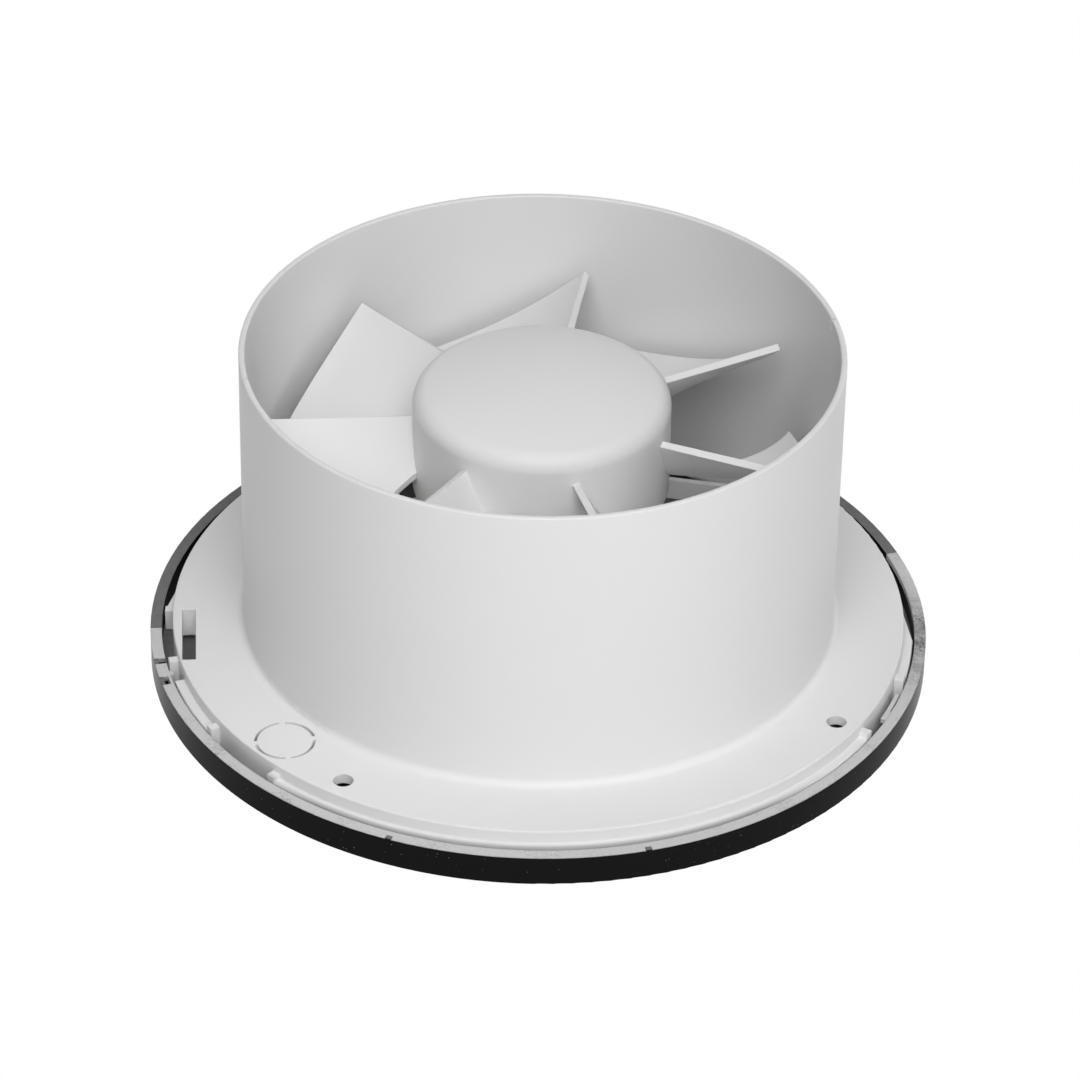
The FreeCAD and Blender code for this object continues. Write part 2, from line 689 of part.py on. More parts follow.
def hub():
    """Cup-shaped hub with a split boss and stiffening ribs inside."""
    skin = domed(HUB_R, HUB_SHOULDER, HUB_DOME_R, HUB_Z, HUB_CROWN)
    room = domed(HUB_R - HUB_WALL, HUB_SHOULDER - HUB_WALL, HUB_DOME_R - HUB_WALL,
                 HUB_Z, HUB_CROWN - HUB_WALL)
    boss_z = HUB_Z + BOSS_LIFT
    inner = [rod(BOSS_OUT_R, boss_z, HUB_CROWN)]
    for i in range(BLADE_COUNT):
        inner.append(radial_wall(i * 360 / BLADE_COUNT, 0, HUB_R - HUB_WALL / 2, HUB_RIB_T,
                                 HUB_Z + HUB_RIB_LIFT, HUB_CROWN))
    inside = joined(inner).common(skin)
    bore = rod(SHAFT_R + BORE_PLAY, boss_z - 1, SHAFT_END)
    slits = [
        radial_wall(a, -2 * BOSS_OUT_R, 2 * BOSS_OUT_R, BOSS_SLIT_W, boss_z - 1, boss_z + BOSS_SLIT_L)
        for a in (0, 90)
    ]
    return joined([skin.cut(room), inside]).cut(Part.makeCompound([bore] + slits))


def impeller():
    """Hub and blades in one moulding."""
    blades = [turned(blade(), BLADE_TURN + i * 360 / BLADE_COUNT) for i in range(BLADE_COUNT)]
    return joined([hub()] + blades)


def impeller_clip():
    """Open spring band round the split end of the boss."""
    inner = BOSS_OUT_R + CLIP_PLAY
    low = HUB_Z + BOSS_LIFT + 1
    return sector(inner, inner + CLIP_WIRE, CLIP_MOUTH / 2, 360 - CLIP_MOUTH / 2, low, low + CLIP_H)


# Motor, built with its coil along local X and then turned into place

def motor_place(shape):
    """Turn a motor piece so that its coil faces the wiring compartment."""
    return turned(shape, MOTOR_ANGLE)


def screw_holes(radius, low, high):
    """Holes for the two long motor screws."""
    return Part.makeCompound([rod(radius, low, high, 0, side * MOTOR_SCREW_Y) for side in (-1, 1)])


def shade_loop():
    """Closed copper loop round one corner of a pole, through a slot of the stack."""
    half = SHADE_WIRE / 2
    far = POLE_HALF_X + SHADE_PLAY
    outer = block(SHADE_IN - half, far + SHADE_WIRE, SHADE_Y - half, SHADE_Y + half,
                  STACK_Z - SHADE_WIRE, STACK_TOP + SHADE_WIRE)
    return outer.cut(block(SHADE_IN + half, far, SHADE_Y - half, SHADE_Y + half, STACK_Z, STACK_TOP))


def shade_slot():
    """Slot of the stack for the inner leg of a shading loop."""
    half = SHADE_WIRE / 2 + SHADE_PLAY
    return block(SHADE_IN - half, SHADE_IN + half, SHADE_Y - half, SHADE_Y + half, STACK_Z, STACK_TOP)


def at_both_poles(shape):
    """A shape at two opposite pole corners, one in the coil's window and one behind."""
    return [shape.mirror(ORIGIN, V(0, 1, 0)), shape.mirror(ORIGIN, V(1, 0, 0))]


def stator_stack():
    """Lamination frame with its coil window, rotor bore and slots for the shading loops."""
    frame = slab(-POLE_HALF_X, LIMB_X + LIMB_W, STACK_HALF_Y, STACK_CORNER, STACK_Z, STACK_TOP)
    window = block(POLE_HALF_X, LIMB_X, -WINDOW_HALF_Y, WINDOW_HALF_Y, STACK_Z, STACK_TOP)
    bore = rod(ROTOR_R + AIR_GAP, STACK_Z, STACK_TOP)
    slots = at_both_poles(shade_slot())
    screws = screw_holes(SCREW_R + SCREW_PLAY, STACK_Z, STACK_TOP)
    return frame.cut(Part.makeCompound([window, bore, screws] + slots))


def coil_section(grow, rounding, half_y):
    """Rounded block round the limb, grown from it on all four sides."""
    face = outline([
        (LIMB_X - grow, STACK_Z - grow, rounding),
        (LIMB_X + LIMB_W + grow, STACK_Z - grow, rounding),
        (LIMB_X + LIMB_W + grow, STACK_TOP + grow, rounding),
        (LIMB_X - grow, STACK_TOP + grow, rounding),
    ])
    face.translate(V(0, -half_y, 0))
    return face.extrude(V(0, 2 * half_y, 0))


def coil_bobbin():
    """Spool on the limb: a square tube between two flanges."""
    half = WINDOW_HALF_Y - BOBBIN_END_GAP
    tube = BOBBIN_PLAY + BOBBIN_WALL
    spool = coil_section(tube + COIL_DEPTH + BOBBIN_WALL, COIL_ROUND, half)
    groove = coil_section(tube + COIL_DEPTH + 2 * BOBBIN_WALL, 0, half - BOBBIN_FLANGE)
    core = coil_section(tube, 0, half)
    return joined([spool.cut(groove), core]).cut(coil_section(BOBBIN_PLAY, 0, half + 1))


def coil_winding():
    """The wound and taped coil, with rounded corners."""
    half = WINDOW_HALF_Y - BOBBIN_END_GAP - BOBBIN_FLANGE
    tube = BOBBIN_PLAY + BOBBIN_WALL
    return coil_section(tube + COIL_DEPTH, COIL_ROUND, half).cut(coil_section(tube, 0, half + 1))


def flipped(shape):
    """Mirror a piece of the outlet side to the inlet side of the stack."""
    return shape.mirror(V(0, 0, (STACK_Z + STACK_TOP) / 2), UP)


def bush_z():
    """Height of the front bush's lower face."""
    return STACK_TOP + BUSH_GAP


def bearing_bridge():
    """Cast bridge on two posts, with a boss that holds the bush, its felt and its retainer."""
    low = STACK_TOP + POST_H
    high = low + BRIDGE_T
    half_y = MOTOR_SCREW_Y + POST_R
    bar = slab(-BRIDGE_HALF_W, BRIDGE_HALF_W, half_y, POST_R, low, high)
    pieces = [bar, rod(BOSS_R, bush_z() - RETAINER_T, high + BOSS_RISE)]
    for side in (-1, 1):
        pieces.append(rod(POST_R, STACK_TOP, high, 0, side * MOTOR_SCREW_Y))
    pocket = rod(BUSH_R + BUSH_FIT, bush_z() - RETAINER_T - 1, bush_z() + BUSH_L + FELT_T - SHAFT_HOLE_PLAY)
    shaft_hole = rod(SHAFT_R + SHAFT_HOLE_PLAY, bush_z(), high + BOSS_RISE + 1)
    screws = screw_holes(SCREW_R + SCREW_PLAY, STACK_TOP - 1, high + 1)
    return joined(pieces).cut(Part.makeCompound([pocket, shaft_hole, screws]))


def bush():
    """Self-aligning bush: a ball with its ends cut flat, bored for the shaft."""
    middle = bush_z() + BUSH_L / 2
    ball = Part.makeSphere(BUSH_R, V(0, 0, middle))
    drum = rod(BUSH_R + 1, bush_z(), bush_z() + BUSH_L)
    return ball.common(drum).cut(rod(SHAFT_R + SHAFT_PLAY, bush_z() - 1, bush_z() + BUSH_L + 1))


def felt():
    """Oil felt behind the bush."""
    low = bush_z() + BUSH_L
    return ring(SHAFT_R + SHAFT_HOLE_PLAY, BUSH_R, low, low + FELT_T - SHAFT_HOLE_PLAY)


def retainer():
    """Spring plate in the mouth of the boss that holds the bush."""
    outer = BUSH_R + BUSH_FIT - RETAINER_FIT
    return ring(RETAINER_HOLE_R, outer, bush_z() - RETAINER_T, bush_z())


def pan_screw(x, y, seat, end, shank_r, head_r, head_h):
    """Slotted screw driven upwards, its head under the seat and its tip at the end."""
    head = rod(head_r, seat - head_h, seat, x, y)
    shank = rod(shank_r, seat - head_h / 2, end, x, y)
    return joined([head, shank]).cut(driver_slot(x, y, head_r, seat - head_h, head_h / 2))


def driver_slot(x, y, reach, low, deep):
    """Slot across a screw's head, open downwards."""
    half = DRIVER_SLOT / 2
    return block(x - reach, x + reach, y - half, y + half, low, low + deep)


def motor_screws():
    """Two long screws through bridges and stack into the motor seat."""
    end = SEAT_TOP + SEAT_BOSS_H
    return [
        pan_screw(0, side * MOTOR_SCREW_Y, REAR_Z, end, SCREW_R, SCREW_HEAD_R, SCREW_HEAD_H)
        for side in (-1, 1)
    ]


# Rotor

def cage_bars():
    """Round bars of the squirrel cage."""
    bars = []
    for i in range(CAGE_BARS):
        centre = polar(CAGE_BAR_CIRCLE, i * 360 / CAGE_BARS)
        bars.append(rod(CAGE_BAR_R, STACK_Z, STACK_TOP, centre.x, centre.y))
    return bars


def rotor_core():
    """Lamination pack of the rotor."""
    core = ring(SHAFT_R + BORE_PLAY, ROTOR_R, STACK_Z, STACK_TOP)
    return core.cut(Part.makeCompound(cage_bars()))


def rotor_cage():
    """Bars and end rings, cast in one."""
    rings = [
        ring(CAGE_RING_HOLE_R, CAGE_RING_R, STACK_Z - CAGE_RING_H, STACK_Z),
        ring(CAGE_RING_HOLE_R, CAGE_RING_R, STACK_TOP, STACK_TOP + CAGE_RING_H),
    ]
    return joined(rings + cage_bars())


def thrust_collar():
    """Collar between rotor and front bush."""
    return ring(SHAFT_R + BORE_PLAY, COLLAR_R, STACK_TOP, bush_z() - RETAINER_T - COLLAR_GAP)


def motor_shaft():
    """Ground shaft from the rear bush to the impeller."""
    low = STACK_Z - BUSH_GAP - BUSH_L
    shaft = rod(SHAFT_R, low, SHAFT_END)
    return shaft.makeChamfer(SHAFT_R / 5, [e for e in shaft.Edges if e.Closed])


# Wiring, built with local X away from the duct's axis and then turned into place

def wiring_place(shape):
    """Turn a wiring piece to the cable entry's side."""
    return turned(shape, KNOCKOUT_ANGLE)


def tunnel(radius, y, start, end):
    """Cylinder along local X at a pole's height."""
    return Part.makeCylinder(radius, end - start, V(start, y, POLE_HEIGHT), V(1, 0, 0))


def terminal_holes(radius, low, high):
    """Upright cylinders at the four terminal screws."""
    return [
        rod(radius, low, high, BLOCK_START + x, side * POLE_Y) for side in (-1, 1) for x in TERMINAL_SCREW_X
    ]


def terminal_block():
    """Two-pole block with a groove between its poles."""
    end = BLOCK_START + BLOCK_L
    low = BOX_FLOOR - BLOCK_H
    body = block(BLOCK_START, end, -BLOCK_HALF_Y, BLOCK_HALF_Y, low, BOX_FLOOR)
    groove = block(BLOCK_START, end, -BLOCK_GROOVE / 2, BLOCK_GROOVE / 2, low, POLE_HEIGHT)
    cuts = [groove] + terminal_holes(TERMINAL_SCREW_R + SCREW_PLAY, low, POLE_HEIGHT)
    cuts += [tunnel(TUNNEL_R, side * POLE_Y, BLOCK_START, end) for side in (-1, 1)]
    return body.cut(Part.makeCompound(cuts))


def terminal_clamps():
    """Brass tubes in the block's tunnels, drilled for their screws."""
    low = BOX_FLOOR - BLOCK_H
    drills = Part.makeCompound(terminal_holes(TERMINAL_SCREW_R + PILOT_PLAY, low, POLE_HEIGHT))
    clamps = []
    for side in (-1, 1):
        y = side * POLE_Y
        outer = tunnel(TUNNEL_R - CLAMP_FIT, y, BLOCK_START, BLOCK_START + BLOCK_L)
        clamps.append(outer.cut(tunnel(CLAMP_BORE_R, y, BLOCK_START, BLOCK_START + BLOCK_L)).cut(drills))
    return clamps


def terminal_screws():
    """Four slotted grub screws in the block."""
    low = BOX_FLOOR - BLOCK_H + TERMINAL_SCREW_SINK
    high = POLE_HEIGHT - LEAD_R
    screws = []
    for screw in terminal_holes(TERMINAL_SCREW_R, low, high):
        centre = screw.CenterOfMass
        slot = driver_slot(centre.x, centre.y, TERMINAL_SCREW_R, low, DRIVER_SLOT)
        screws.append(screw.cut(slot))
    return screws


def cable_clamp():
    """Strain relief bar with an arch for the cable."""
    x = INNER_R - SADDLE_X
    high = BOX_FLOOR - SADDLE_BOSS_H
    low = high - SADDLE_T
    bar = slab(x - SADDLE_W / 2, x + SADDLE_W / 2, SADDLE_HALF_Y, SADDLE_CORNER, low, high)
    arch_z = high + SADDLE_ARCH_R - SADDLE_T / 2
    arch = Part.makeCylinder(SADDLE_ARCH_R, SADDLE_W, V(x - SADDLE_W / 2, 0, arch_z), V(1, 0, 0))
    holes = [rod(SMALL_SCREW_R + SCREW_PLAY, low, high, x, side * SADDLE_SCREW_Y) for side in (-1, 1)]
    return bar.cut(Part.makeCompound([arch] + holes))


def small_screw(x, y, seat, end):
    """Short screw of the wiring compartment."""
    return pan_screw(x, y, seat, end, SMALL_SCREW_R, SMALL_HEAD_R, SMALL_HEAD_H)


def cable_clamp_screws():
    """Two screws that pull the strain relief bar down."""
    seat = BOX_FLOOR - SADDLE_BOSS_H - SADDLE_T
    end = BOX_FLOOR - SMALL_TIP_GAP
    return [small_screw(INNER_R - SADDLE_X, side * SADDLE_SCREW_Y, seat, end) for side in (-1, 1)]


def terminal_cover():
    """Lid of the wiring compartment, curved along the spigot's wall, with a cable notch."""
    low = FLANGE_UNDER - LID_T
    lid = block(BOX_X, SPIGOT_R, -BOX_HALF_Y, BOX_HALF_Y, low, FLANGE_UNDER)
    lid = lid.common(rod(INNER_R - LID_FIT, low, FLANGE_UNDER))
    inside_y = BOX_HALF_Y - BOX_WALL - LID_FIT
    start = BOX_X + BOX_WALL + LID_FIT
    beside = BLOCK_HALF_Y + HOLD_FIT + HOLD_RIB_W + LID_FIT
    lip = block(start, start + BOX_WALL, beside, inside_y, low, FLANGE_UNDER + LID_T)
    notch = block(INNER_R - LID_NOTCH_DEEP, SPIGOT_R, -LID_NOTCH_HALF, LID_NOTCH_HALF, low, FLANGE_UNDER)
    hole = rod(SMALL_SCREW_R + SCREW_PLAY, low, FLANGE_UNDER, BOX_X + LID_SCREW_X, LID_SCREW_Y)
    return joined([lid, lip]).cut(Part.makeCompound([notch, hole]))


def terminal_cover_screw():
    """Screw that holds the lid."""
    end = BOX_FLOOR - SMALL_TIP_GAP
    return small_screw(BOX_X + LID_SCREW_X, LID_SCREW_Y, FLANGE_UNDER - LID_T, end)


def motor_lead(side):
    """Insulated lead from a terminal clamp to the coil."""
    return tunnel(LEAD_R, side * POLE_Y, COIL_OUT_X, BLOCK_START + LEAD_INTO)


def main():
    os.makedirs("parts", exist_ok=True)
    save("housing", housing())
    save("front_cover", front_cover())
    save("clip_ring", clip_ring())
    save("impeller", impeller())
    save("impeller_clip", impeller_clip())
    save("motor_shaft", motor_shaft())
    save("rotor_core", rotor_core())
    save("rotor_cage", rotor_cage())
    save("thrust_collars", thrust_collar(), flipped(thrust_collar()))
    save("stator_stack", motor_place(stator_stack()))
    save("shading_rings", *[motor_place(loop) for loop in at_both_poles(shade_loop())])
    save("coil_bobbin", motor_place(coil_bobbin()))
    save("coil_winding", motor_place(coil_winding()))
    save("front_bracket", motor_place(bearing_bridge()))
    save("rear_bracket", motor_place(flipped(bearing_bridge())))
    save("front_bearing", bush())
    save("rear_bearing", flipped(bush()))
    save("bearing_retainers", retainer(), flipped(retainer()))
    save("oil_felts", felt(), flipped(felt()))
    save("motor_screws", *[motor_place(screw) for screw in motor_screws()])
    save("terminal_block", wiring_place(terminal_block()))
    save("terminal_clamps", *[wiring_place(clamp) for clamp in terminal_clamps()])
    save("terminal_screws", *[wiring_place(screw) for screw in terminal_screws()])
    save("terminal_cover", wiring_place(terminal_cover()))
    save("terminal_cover_screw", wiring_place(terminal_cover_screw()))
    save("cable_clamp", wiring_place(cable_clamp()))
    save("cable_clamp_screws", *[wiring_place(screw) for screw in cable_clamp_screws()])
    save("motor_lead_live", wiring_place(motor_lead(1)))
    save("motor_lead_neutral", wiring_place(motor_lead(-1)))


main()
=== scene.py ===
import json
import math

import bmesh
import bpy
from mathutils import Matrix, Vector


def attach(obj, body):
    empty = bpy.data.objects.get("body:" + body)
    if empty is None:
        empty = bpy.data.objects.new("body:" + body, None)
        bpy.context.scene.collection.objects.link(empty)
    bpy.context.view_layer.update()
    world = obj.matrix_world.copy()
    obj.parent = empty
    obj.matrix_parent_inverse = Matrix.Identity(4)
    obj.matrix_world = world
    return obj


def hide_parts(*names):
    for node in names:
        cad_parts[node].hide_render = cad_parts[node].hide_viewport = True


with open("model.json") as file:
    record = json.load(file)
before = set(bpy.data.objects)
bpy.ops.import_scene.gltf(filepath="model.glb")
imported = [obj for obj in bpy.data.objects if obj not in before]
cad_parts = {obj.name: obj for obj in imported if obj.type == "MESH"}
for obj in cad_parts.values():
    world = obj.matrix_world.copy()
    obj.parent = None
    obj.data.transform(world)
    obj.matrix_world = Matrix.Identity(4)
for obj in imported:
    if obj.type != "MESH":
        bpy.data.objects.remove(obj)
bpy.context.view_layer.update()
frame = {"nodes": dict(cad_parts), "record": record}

bl_info = {
    "name": "Duct fan looks",
    "version": (1, 0, 0),
    "blender": (4, 5, 0),
    "location": "View3D > Sidebar > Fan",
    "description": "Dresses the bathroom exhaust fan and sets the stage for its picture",
    "category": "Object",
}

MM = 0.001

# Skins: corners from this angle on stay sharp, and points closer than this are one
SHARP_EDGE = math.radians(28)
MERGE = 0.002 * MM

# Materials: their names start with this, so that they don't clash with the frame's own
LOOK = "fan_"
EDGE_SAMPLES = 6
SHINE_VARIES = 0.15
WHITE = (1.0, 1.0, 1.0, 1.0)

# A Mix node has sockets for every kind of data, and these are the ones for colours
MIX_UNDER = 6
MIX_OVER = 7
MIX_RESULT = 2

# Colour and roughness of the even finishes
METALS = {
    "steel_bright": ((0.62, 0.62, 0.64), 0.22),
    "zinc_cast": ((0.52, 0.53, 0.55), 0.42),
    "aluminium_cast": ((0.68, 0.68, 0.69), 0.38),
    "copper": ((0.72, 0.36, 0.20), 0.28),
    "bronze": ((0.50, 0.34, 0.18), 0.40),
    "brass": ((0.70, 0.54, 0.24), 0.28),
}
MOULDINGS = {
    "nylon": ((0.70, 0.68, 0.62), 0.40),
    "pvc_brown": ((0.16, 0.07, 0.04), 0.35),
    "pvc_blue": ((0.04, 0.12, 0.42), 0.35),
}

# Camera, and the rays that see the white background
SENSOR_WIDTH = 36.0
VIEW_LIMIT = 50.0
SHOWN_RAYS = ("Is Camera Ray", "Is Glossy Ray", "Is Transmission Ray")

# Lights stand on a sphere round the fan: azimuth from the camera to the right, elevation, power
LIGHTS = {
    "light_front": (0, 50, 15.0),
    "light_front_right": (45, 50, 2.4),
    "light_front_low": (0, 15, 1.8),
    "light_right_low": (50, 15, 2.6),
    "light_right_back": (140, 2, 6.0),
    "light_back_left": (-135, 50, 3.5),
    "light_back": (180, 50, 0.5),
}


# Settings

class FanLooks(bpy.types.PropertyGroup):
    """Colours and finishes of the fan."""

    white: bpy.props.FloatVectorProperty(
        name="White plastic", description="Colour of the housing, the impeller and the wiring lid",
        subtype="COLOR", size=3, min=0.0, max=1.0, default=(0.80, 0.80, 0.80))
    clip: bpy.props.FloatVectorProperty(
        name="Clip ring", description="Colour of the clip ring where it is clean",
        subtype="COLOR", size=3, min=0.0, max=1.0, default=(0.62, 0.62, 0.62))
    # This colour is also used for the painted shade in the joint between the housing's flange and the cover.
    smudge_and_shade: bpy.props.FloatVectorProperty(
        name="Smudges", description="Colour of dirt and rubbed places on white plastic",
        subtype="COLOR", size=3, min=0.0, max=1.0, default=(0.07, 0.07, 0.07))
    # The cover's colour under its dust and under the painted reflection on its upward faces.
    black: bpy.props.FloatVectorProperty(
        name="Black plastic", description="Colour of the front cover under its dust",
        subtype="COLOR", size=3, min=0.0, max=1.0, default=(0.008, 0.008, 0.008))
    # This colour is also used for the painted reflection that lightens the cover's upward faces, besides the
    # real dust grains.
    dust_and_sheen: bpy.props.FloatVectorProperty(
        name="Dust", description="Colour of the dust on the front cover",
        subtype="COLOR", size=3, min=0.0, max=1.0, default=(0.20, 0.20, 0.20))
    edge: bpy.props.FloatProperty(
        name="Softened edges", description="Radius that moulded edges seem to have",
        unit="LENGTH", min=0.0, default=0.35 * MM)


class FanStage(bpy.types.PropertyGroup):
    """Camera, floor and lights."""

    aim: bpy.props.FloatVectorProperty(
        name="Target", description="Point that the camera and the lights look at",
        subtype="TRANSLATION", unit="LENGTH", size=3, default=(0.06 * MM, 0.0, 32.17 * MM))
    distance: bpy.props.FloatProperty(
        name="Camera distance", description="From the target to the camera",
        unit="LENGTH", min=0.0, default=1258.3 * MM)
    elevation: bpy.props.FloatProperty(
        name="Camera elevation", description="Angle of the camera above the level",
        unit="ROTATION", default=math.radians(34.42))
    roll: bpy.props.FloatProperty(
        name="Camera roll", description="Turn of the camera about its line of sight",
        unit="ROTATION", default=0.0173)
    lens: bpy.props.FloatProperty(
        name="Focal length", description="Focal length of the lens on a full-frame sensor",
        unit="CAMERA", min=1.0, default=168.2)
    reach: bpy.props.FloatProperty(
        name="Light distance", description="From the target to each softbox",
        unit="LENGTH", min=0.0, default=1.5)
    softbox: bpy.props.FloatProperty(
        name="Softbox size", description="Side of each square softbox",
        unit="LENGTH", min=0.0, default=0.9)
    ambient: bpy.props.FloatProperty(
        name="Ambient light", description="Share of white that the surroundings light the fan with",
        subtype="FACTOR", min=0.0, max=1.0, default=0.03)
    floor_shade: bpy.props.FloatProperty(
        name="Floor shade", description="Share of the light that the floor throws back",
        subtype="FACTOR", min=0.0, max=1.0, default=0.8)
    floor_half: bpy.props.FloatProperty(
        name="Floor half width", description="From the middle of the floor to its sides",
        unit="LENGTH", min=0.0, default=6.0)
    floor_drop: bpy.props.FloatProperty(
        name="Floor drop", description="Depth of the floor under the fan, with room for the pulled cover",
        unit="LENGTH", min=0.0, default=31 * MM)


# Nodes

class Value:
    """A node's output, which takes part in arithmetic."""

    def __init__(self, nodes, socket):
        self.nodes = nodes
        self.socket = socket

    def math(self, operation, *others):
        """Result of a Math node that has this value as its first input."""
        sockets = dict(enumerate((self, *others)))
        return self.nodes.add("ShaderNodeMath", {"operation": operation}, sockets)

    def __add__(self, other):
        return self.math("ADD", other)

    def __mul__(self, other):
        return self.math("MULTIPLY", other)

    __radd__ = __add__
    __rmul__ = __mul__

    def band(self, low, high):
        """Ramp from 0 at low to 1 at high."""
        return self.nodes.add("ShaderNodeMapRange", {}, {"Value": self, "From Min": low, "From Max": high})


class Nodes:
    """Node tree of a material or of the world."""

    def __init__(self, owner):
        owner.use_nodes = True
        self.tree = owner.node_tree
        self.surface = next(node.inputs["Surface"] for node in self.tree.nodes if "Surface" in node.inputs)
        self.shader = self.surface.links[0].from_node

    def feed(self, entry, given):
        """Link a value to an input, or set the input to a plain number or colour."""
        if isinstance(given, Value):
            self.tree.links.new(given.socket, entry)
        else:
            entry.default_value = given

    def add(self, kind, settings, sockets, output=0):
        """One output of a new node that gets its settings first and then its sockets' values or links."""
        node = self.tree.nodes.new(kind)
        for name, setting in settings.items():
            setattr(node, name, setting)
        for key, given in sockets.items():
            self.feed(node.inputs[key], given)
        return Value(self, node.outputs[output])

    def show(self, seen, unseen):
        """Show one shader to the camera and in reflections, and use another for the rest of the light."""
        self.tree.nodes.remove(self.shader)
        seeing = sum(self.add("ShaderNodeLightPath", {}, {}, ray) for ray in SHOWN_RAYS)
        self.feed(self.surface, self.add("ShaderNodeMixShader", {}, {0: seeing, 1: unseen, 2: seen}))


class Paint(Nodes):
    """Procedural material whose patterns are in millimetres on the piece."""

    def __init__(self, name, colour, roughness, metallic=0.0, specular=0.5):
        super().__init__(bpy.data.materials.new(LOOK + name))
        self.colour = (*colour, 1.0)
        self.normal = None
        self.feed(self.shader.inputs["Base Color"], self.colour)
        self.feed(self.shader.inputs["Roughness"], roughness)
        self.feed(self.shader.inputs["Metallic"], metallic)
        self.feed(self.shader.inputs["Specular IOR Level"], specular)
        metres = self.add("ShaderNodeTexCoord", {}, {}, "Object")
        self.place = self.add("ShaderNodeMapping", {}, {"Vector": metres, "Scale": (1 / MM, 1 / MM, 1 / MM)})

    def noise(self, size, detail=2.0):
        """Noise from 0 to 1 whose lumps are about that many millimetres across."""
        return self.add("ShaderNodeTexNoise", {}, {"Vector": self.place, "Scale": 1 / size, "Detail": detail})

    def specks(self, size):
        """Distance from scattered points about that many millimetres apart, in cells."""
        return self.add("ShaderNodeTexVoronoi", {}, {"Vector": self.place, "Scale": 1 / size}, "Distance")

    def axis(self, letter):
        """Coordinate along X, Y or Z in millimetres."""
        return self.add("ShaderNodeSeparateXYZ", {}, {"Vector": self.place}, letter)

    def upward(self):
        """How far a face looks up, from -1 to 1."""
        outward = self.add("ShaderNodeTexCoord", {}, {}, "Normal")
        return self.add("ShaderNodeSeparateXYZ", {}, {"Vector": outward}, "Z")

    def stain(self, colour, amount):
        """Mix another colour over the base colour."""
        sockets = {"Factor": amount, MIX_UNDER: self.colour, MIX_OVER: (*colour, 1.0)}
        self.colour = self.add("ShaderNodeMix", {"data_type": "RGBA"}, sockets, MIX_RESULT)
        self.feed(self.shader.inputs["Base Color"], self.colour)

    def roughness(self, value):
        """Let the roughness vary."""
        self.feed(self.shader.inputs["Roughness"], value)

    def bend(self, normal):
        """Shade the surface by another normal."""
        self.normal = normal
        self.feed(self.shader.inputs["Normal"], normal)

    def soften(self, radius):
        """Round the edges in the shading."""
        self.bend(self.add("ShaderNodeBevel", {"samples": EDGE_SAMPLES}, {"Radius": radius}))

    def bump(self, height, depth):
        """Raise and lower the surface by a pattern, at most by a depth in millimetres."""
        sockets = {"Height": height, "Distance": depth * MM}
        if self.normal:
            sockets["Normal"] = self.normal
        self.bend(self.add("ShaderNodeBump", {}, sockets))


# Materials

def white_plastic(looks):
    """Clean moulded ABS with a faint sheen, and painted shade in the joint where the flange meets the cover,
    on the front side.
    """
    paint = Paint("white_plastic", looks.white, 0.42, specular=0.2)
    paint.soften(looks.edge)
    x, y = paint.axis("X"), paint.axis("Y")
    # Painted shade: the flange's outer edge is darkened where it meets the cover, on the front side only, in
    # place of the shade in that joint.
    joint_shade_ring = (x * x + y * y).math("SQRT").band(92.6, 94.0)
    joint_shade_front = y.band(-62.0, -78.0)
    paint.stain(looks.smudge_and_shade, joint_shade_ring * joint_shade_front * 0.6)
    paint.roughness(paint.noise(14.0) * 0.12 + 0.36)
    paint.bump(paint.noise(0.9, 1.0), 0.004)


def clip_plastic(looks):
    """Handled white plastic with speckled patches and a worn place at the right."""
    paint = Paint("white_clip_plastic", looks.clip, 0.45, specular=0.2)
    paint.soften(looks.edge)
    patches = paint.noise(9.0, 3.0).band(0.50, 0.72)
    speckle = paint.noise(0.8, 4.0).band(0.40, 0.66)
    right_side = paint.axis("X").band(60.0, 80.0)
    worn = (paint.axis("Y") + 5.0).math("ABSOLUTE").band(24.0, 2.0) * right_side
    rubbed = worn * paint.noise(5.0, 3.0).band(0.3, 0.6)
    paint.stain(looks.smudge_and_shade, (patches * 0.4 + rubbed + 0.08) * speckle)
    paint.stain(looks.smudge_and_shade, worn * paint.noise(3.0, 3.0).band(0.2, 0.6) * 0.75)
    paint.roughness(patches * 0.2 + 0.4)


def black_plastic(looks):
    """Satin black moulding: a painted reflection of the overhead light, which also stands for a dust film,
    lightens what faces up, and fine grains lie elsewhere.
    """
    paint = Paint("black_plastic", looks.black, 0.28, specular=0.03)
    paint.soften(looks.edge)
    # Painted reflection: faces that look up are lightened as if they reflected the overhead light, and this
    # also serves as a film of dust.
    sheen_and_dust_film = paint.upward().band(0.5, 0.95)
    paint.stain(looks.dust_and_sheen, sheen_and_dust_film * (paint.noise(1.8, 3.0) * 0.5 + 0.7))
    grains = paint.specks(1.6).band(0.10, 0.05)
    paint.stain(looks.dust_and_sheen, grains * paint.noise(6.0).band(0.42, 0.62))
    paint.roughness(sheen_and_dust_film * 0.3 + 0.26)


def laminated_steel():
    """Stack of half-millimetre sheets, with the joints between them showing on the edges."""
    paint = Paint("steel_sheet", (0.30, 0.30, 0.32), 0.45, 1.0)
    sheets = (paint.axis("Z") * 2.0).math("FRACT").math("PINGPONG", 0.5)
    paint.bump(sheets, 0.06)
    paint.stain((0.16, 0.13, 0.11), paint.noise(5.0, 3.0).band(0.52, 0.75) * 0.5)


def metal(name, colour, roughness):
    """Bare metal whose shine varies a little."""
    paint = Paint(name, colour, roughness, 1.0)
    paint.roughness(paint.noise(3.0) * SHINE_VARIES + roughness)


def felt():
    """Oil-soaked felt."""
    paint = Paint("felt", (0.36, 0.31, 0.23), 0.95)
    paint.bump(paint.noise(0.5, 4.0), 0.15)


